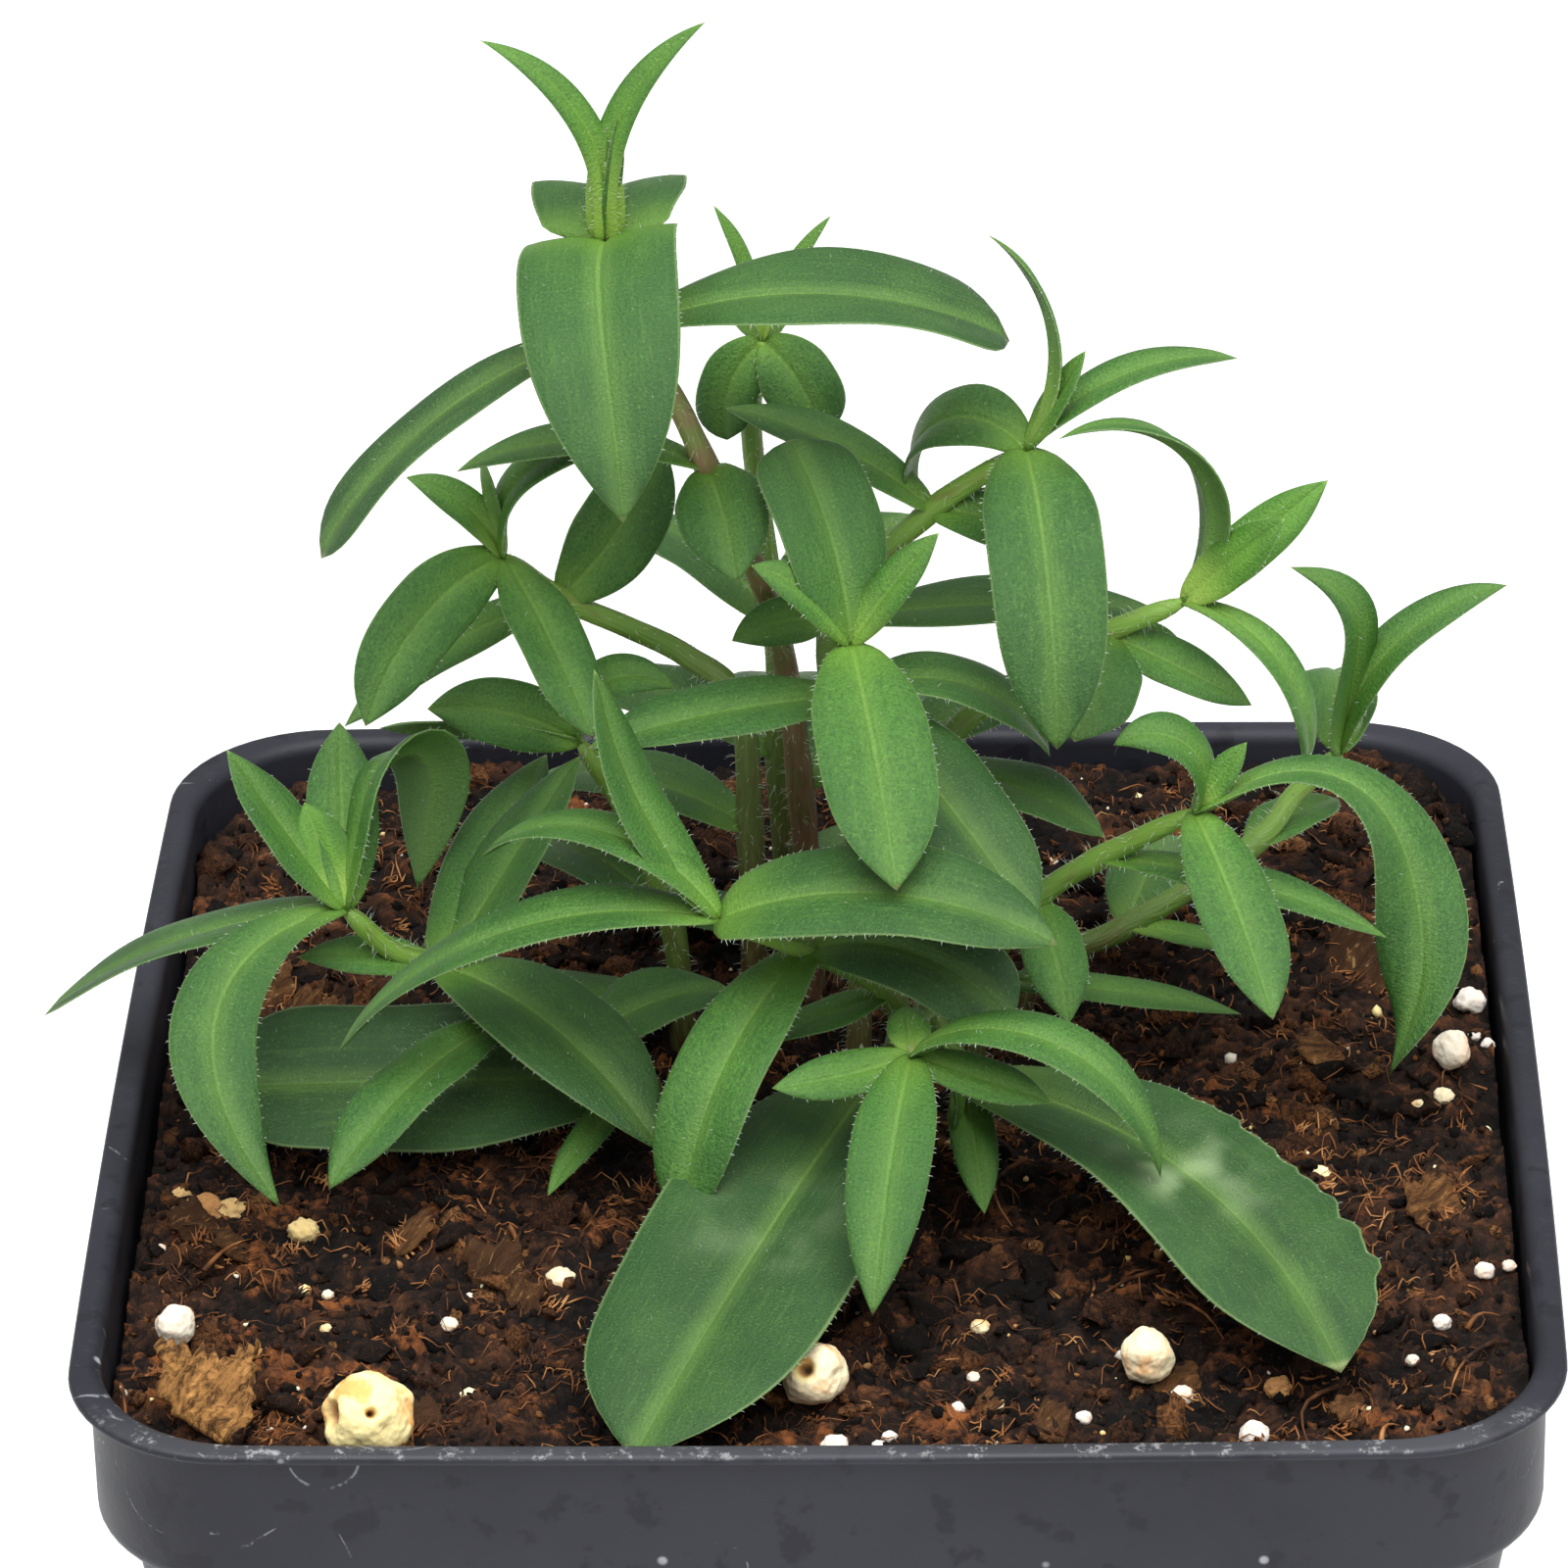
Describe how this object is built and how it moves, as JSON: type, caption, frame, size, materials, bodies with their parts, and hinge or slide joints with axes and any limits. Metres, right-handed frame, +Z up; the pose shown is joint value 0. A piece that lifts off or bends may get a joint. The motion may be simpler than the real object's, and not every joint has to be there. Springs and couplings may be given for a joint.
{
  "type": "potted blue moon woodland phlox",
  "caption": "Young woodland phlox with leafy stems and paired lance-shaped leaves, growing in peaty soil in a square nursery pot.",
  "frame": {"origin": "centre of the pot's flat base, on the surface it stands on", "axes": "+Z up out of the pot, +X to the right and -Y towards the viewer in the picture"},
  "size_m": [0.0912, 0.0866, 0.1444],
  "materials": {
    "pot": "charcoal, semi-matte, lightly scuffed",
    "soil": "dark peat with bark fibres, fully rough",
    "bark": "raw golden-brown bark",
    "perlite": "chalky cream mineral grain",
    "leaf": "satin green leaf, finely haired stem"
  },
  "bodies": {
    "root": {"pot": "pot", "soil": "soil", "bark_chip": "bark", "perlite_front_left": "perlite", "perlite_front": "perlite", "perlite_front_right": "perlite", "perlite_left": "perlite", "perlite_right": "perlite", "shoot_tall": "leaf", "shoot_back": "leaf", "shoot_upper_right": "leaf", "shoot_right": "leaf", "shoot_far_right": "leaf", "shoot_lower_right": "leaf", "shoot_centre": "leaf", "shoot_upper_left": "leaf", "shoot_small_left": "leaf", "shoot_lower_left": "leaf", "shoot_front": "leaf", "shoot_lower_centre": "leaf"}
  },
  "joints": []
}
